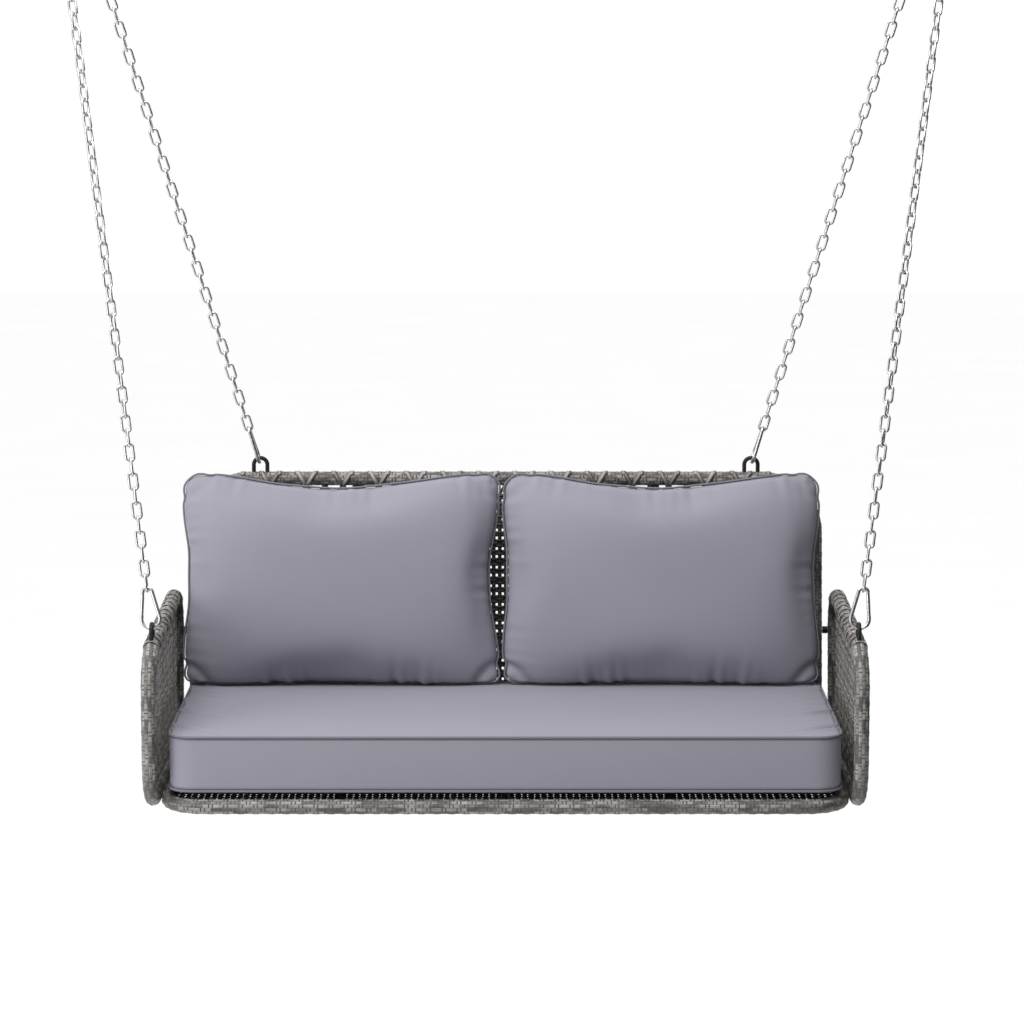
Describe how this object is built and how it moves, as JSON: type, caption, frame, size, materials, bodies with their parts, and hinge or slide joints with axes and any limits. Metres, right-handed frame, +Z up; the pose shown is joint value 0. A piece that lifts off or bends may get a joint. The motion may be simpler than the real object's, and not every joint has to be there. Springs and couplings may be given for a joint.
{
  "type": "porch swing",
  "caption": "Wide woven rattan-look porch swing seat with steel frame, loose seat and back cushions, snap hooks and chains running up to ceiling plates.",
  "frame": {"origin": "on the ceiling, at the plates' upper faces, midway between the two ceiling plates", "axes": "+Z up, +Y from the seat's open front towards its back, +X to the right of someone looking at the front"},
  "size_m": [1.72, 0.6428, 1.9],
  "materials": {
    "rattan": "matte",
    "frame_paint": "satin",
    "black_paint": "satin",
    "zinc": "satin",
    "plate_zinc": "satin",
    "black_plastic": "satin",
    "cushion_fabric": "matte",
    "cushion_filling": "matte"
  },
  "bodies": {
    "ceiling_fittings": {"ceiling_loop_left": "plate_zinc", "ceiling_loop_right": "plate_zinc", "ceiling_plate_left": "plate_zinc", "ceiling_plate_right": "plate_zinc"},
    "swing": {"back_bolts": "zinc", "back_frame": "frame_paint", "back_rim_wrap": "rattan", "back_spacers": "black_plastic", "back_stiffeners": "frame_paint", "back_weave": "rattan", "frame_bolts": "zinc", "front_chain_left": "zinc", "front_chain_right": "zinc", "front_eye_left": "black_paint", "front_eye_right": "black_paint", "front_left_hook": "zinc", "front_right_hook": "zinc", "gate_pins": "zinc", "left_arm_frame": "frame_paint", "left_arm_rim_wrap": "rattan", "left_arm_weave": "rattan", "rear_chain_left": "zinc", "rear_chain_right": "zinc", "rear_eye_left": "black_paint", "rear_eye_right": "black_paint", "rear_left_hook": "zinc", "rear_right_hook": "zinc", "right_arm_frame": "frame_paint", "right_arm_rim_wrap": "rattan", "right_arm_weave": "rattan", "seat_crossbars": "frame_paint", "seat_deck": "rattan", "seat_frame": "frame_paint", "seat_rim_wrap": "rattan", "threaded_inserts": "zinc", "upper_left_hook": "zinc", "upper_right_hook": "zinc"},
    "upper_left_gate": {"upper_left_gate": "zinc", "upper_left_gate_spring": "zinc"},
    "upper_right_gate": {"upper_right_gate": "zinc", "upper_right_gate_spring": "zinc"},
    "front_left_gate": {"front_left_gate": "zinc", "front_left_gate_spring": "zinc"},
    "front_right_gate": {"front_right_gate": "zinc", "front_right_gate_spring": "zinc"},
    "rear_left_gate": {"rear_left_gate": "zinc", "rear_left_gate_spring": "zinc"},
    "rear_right_gate": {"rear_right_gate": "zinc", "rear_right_gate_spring": "zinc"},
    "seat_cushion": {"seat_cushion_cover": "cushion_fabric", "seat_cushion_foam": "cushion_filling", "seat_cushion_piping": "cushion_fabric"},
    "back_cushion_left": {"back_cushion_left_cover": "cushion_fabric", "back_cushion_left_fill": "cushion_filling", "back_cushion_left_piping": "cushion_fabric"},
    "back_cushion_right": {"back_cushion_right_cover": "cushion_fabric", "back_cushion_right_fill": "cushion_filling", "back_cushion_right_piping": "cushion_fabric"}
  },
  "joints": [
    {"name": "swing_pivot", "type": "hinge", "parent": "ceiling_fittings", "child": "swing", "pos_m": [0, 0, -0.037], "axis": [1, 0, 0], "range_deg": [-25, 25]},
    {"name": "upper_right_gate_hinge", "type": "hinge", "parent": "swing", "child": "upper_right_gate", "pos_m": [0.835, 0.00923, -0.04131], "axis": [-1, 0, 0], "range_deg": [0, 22], "stiffness_Nm_per_rad": 0.1, "springref_deg": -22.92},
    {"name": "upper_left_gate_hinge", "type": "hinge", "parent": "swing", "child": "upper_left_gate", "pos_m": [-0.835, 0.00923, -0.04131], "axis": [-1, 0, 0], "range_deg": [0, 22], "stiffness_Nm_per_rad": 0.1, "springref_deg": -22.92},
    {"name": "front_right_gate_hinge", "type": "hinge", "parent": "swing", "child": "front_right_gate", "pos_m": [0.65315, -0.27877, -1.51833], "axis": [0, 0.9818, -0.1897], "range_deg": [0, 22], "stiffness_Nm_per_rad": 0.1, "springref_deg": -22.92},
    {"name": "front_left_gate_hinge", "type": "hinge", "parent": "swing", "child": "front_left_gate", "pos_m": [-0.65315, -0.27877, -1.51833], "axis": [0, -0.9818, 0.1897], "range_deg": [0, 22], "stiffness_Nm_per_rad": 0.1, "springref_deg": -22.92},
    {"name": "rear_right_gate_hinge", "type": "hinge", "parent": "swing", "child": "rear_right_gate", "pos_m": [0.49261, 0.23793, -1.28279], "axis": [-0.9605, 0, 0.2784], "range_deg": [0, 22], "stiffness_Nm_per_rad": 0.1, "springref_deg": -22.92},
    {"name": "rear_left_gate_hinge", "type": "hinge", "parent": "swing", "child": "rear_left_gate", "pos_m": [-0.49261, 0.23793, -1.28279], "axis": [-0.9605, 0, -0.2784], "range_deg": [0, 22], "stiffness_Nm_per_rad": 0.1, "springref_deg": -22.92},
    {"name": "seat_cushion_lift", "type": "slide", "parent": "swing", "child": "seat_cushion", "axis": [0, -0.7071, 0.7071], "range_m": [0, 0.9]},
    {"name": "back_cushion_left_lift", "type": "slide", "parent": "seat_cushion", "child": "back_cushion_left", "axis": [0, -0.7071, 0.7071], "range_m": [0, 0.7]},
    {"name": "back_cushion_right_lift", "type": "slide", "parent": "seat_cushion", "child": "back_cushion_right", "axis": [0, -0.7071, 0.7071], "range_m": [0, 0.7]}
  ]
}
